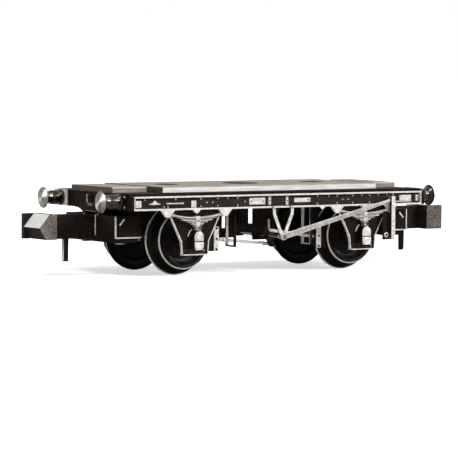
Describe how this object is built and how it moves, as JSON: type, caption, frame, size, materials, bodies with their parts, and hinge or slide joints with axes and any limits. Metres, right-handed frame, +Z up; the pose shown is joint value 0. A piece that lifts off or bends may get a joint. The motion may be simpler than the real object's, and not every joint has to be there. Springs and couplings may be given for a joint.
{
  "type": "model railway wagon chassis",
  "caption": "Small-scale four-wheeled flat wagon underframe with a cast ballast deck, sprung hook couplers, turned buffers, brake gear and pinpoint wheelsets.",
  "frame": {"origin": "on the track plane under the wheel flanges, at the middle of the wagon", "axes": "+X along the wagon, +Y across it towards the side without brake shoes, +Z up"},
  "size_m": [0.0496, 0.0174, 0.009],
  "materials": {
    "frame_plastic": "moulded black plastic with pale wear on its edges",
    "wheel_plastic": "moulded black plastic, tread and flange polished by the rails",
    "coupler_plastic": "moulded black plastic, satin where it rubs",
    "cast_ballast": "bare die-cast metal, warm light grey, satin",
    "turned_metal": "turned and polished bright metal",
    "axle_steel": "drawn steel",
    "spring_steel": "drawn spring wire"
  },
  "bodies": {
    "chassis": {"axlebox_left_far": "frame_plastic", "axlebox_left_near": "frame_plastic", "axlebox_right_far": "frame_plastic", "axlebox_right_near": "frame_plastic", "ballast_weight": "cast_ballast", "brake_cross_shaft": "axle_steel", "brake_frame": "frame_plastic", "brake_lever_far": "frame_plastic", "brake_lever_near": "frame_plastic", "brake_shoe_left": "frame_plastic", "brake_shoe_right": "frame_plastic", "brake_tumbler": "frame_plastic", "buffer_head_left_far": "turned_metal", "buffer_head_left_near": "turned_metal", "buffer_head_right_far": "turned_metal", "buffer_head_right_near": "turned_metal", "buffer_housing_left_far": "turned_metal", "buffer_housing_left_near": "turned_metal", "buffer_housing_right_far": "turned_metal", "buffer_housing_right_near": "turned_metal", "coupler_pocket_left": "frame_plastic", "coupler_pocket_right": "frame_plastic", "cross_bearer_left": "frame_plastic", "cross_bearer_right": "frame_plastic", "cross_shaft_hanger": "frame_plastic", "deck_block_left": "cast_ballast", "deck_block_right": "cast_ballast", "floor": "frame_plastic", "headstock_left": "frame_plastic", "headstock_right": "frame_plastic", "leaf_spring_left_far": "frame_plastic", "leaf_spring_left_near": "frame_plastic", "leaf_spring_right_far": "frame_plastic", "leaf_spring_right_near": "frame_plastic", "lever_guard_far": "frame_plastic", "lever_guard_near": "frame_plastic", "pocket_cover_left": "frame_plastic", "pocket_cover_right": "frame_plastic", "push_rod_left": "frame_plastic", "push_rod_right": "frame_plastic", "safety_loop_left": "frame_plastic", "safety_loop_right": "frame_plastic", "solebar_far": "frame_plastic", "solebar_near": "frame_plastic", "v_hanger_far": "frame_plastic", "v_hanger_near": "frame_plastic", "w_iron_left_far": "frame_plastic", "w_iron_left_near": "frame_plastic", "w_iron_right_far": "frame_plastic", "w_iron_right_near": "frame_plastic"},
    "wheelset_left": {"axle_left": "axle_steel", "wheel_left_near": "wheel_plastic", "wheel_left_far": "wheel_plastic"},
    "wheelset_right": {"axle_right": "axle_steel", "wheel_right_near": "wheel_plastic", "wheel_right_far": "wheel_plastic"},
    "coupler_seat_left": {"coupler_spring_left": "spring_steel"},
    "coupler_hook_left": {"coupler_left": "coupler_plastic"},
    "coupler_seat_right": {"coupler_spring_right": "spring_steel"},
    "coupler_hook_right": {"coupler_right": "coupler_plastic"}
  },
  "joints": [
    {"name": "wheelset_left_spin", "type": "hinge", "parent": "chassis", "child": "wheelset_left", "pos_m": [-0.0103, 0, 0.00364], "axis": [0, 1, 0], "continuous": true},
    {"name": "wheelset_right_spin", "type": "hinge", "parent": "chassis", "child": "wheelset_right", "pos_m": [0.0103, 0, 0.00364], "axis": [0, 1, 0], "continuous": true},
    {"name": "coupler_left_swing", "type": "hinge", "parent": "chassis", "child": "coupler_seat_left", "pos_m": [-0.0162, 0, 0.0049], "axis": [0, 0, 1], "range_deg": [-8, 8], "stiffness_Nm_per_rad": 0.00001},
    {"name": "coupler_left_lift", "type": "hinge", "parent": "coupler_seat_left", "child": "coupler_hook_left", "pos_m": [-0.0162, 0, 0.0049], "axis": [0, 1, 0], "range_deg": [0, 12], "stiffness_Nm_per_rad": 0.00001},
    {"name": "coupler_right_swing", "type": "hinge", "parent": "chassis", "child": "coupler_seat_right", "pos_m": [0.0162, 0, 0.0049], "axis": [0, 0, 1], "range_deg": [-8, 8], "stiffness_Nm_per_rad": 0.00001},
    {"name": "coupler_right_lift", "type": "hinge", "parent": "coupler_seat_right", "child": "coupler_hook_right", "pos_m": [0.0162, 0, 0.0049], "axis": [0, -1, 0], "range_deg": [0, 12], "stiffness_Nm_per_rad": 0.00001}
  ]
}
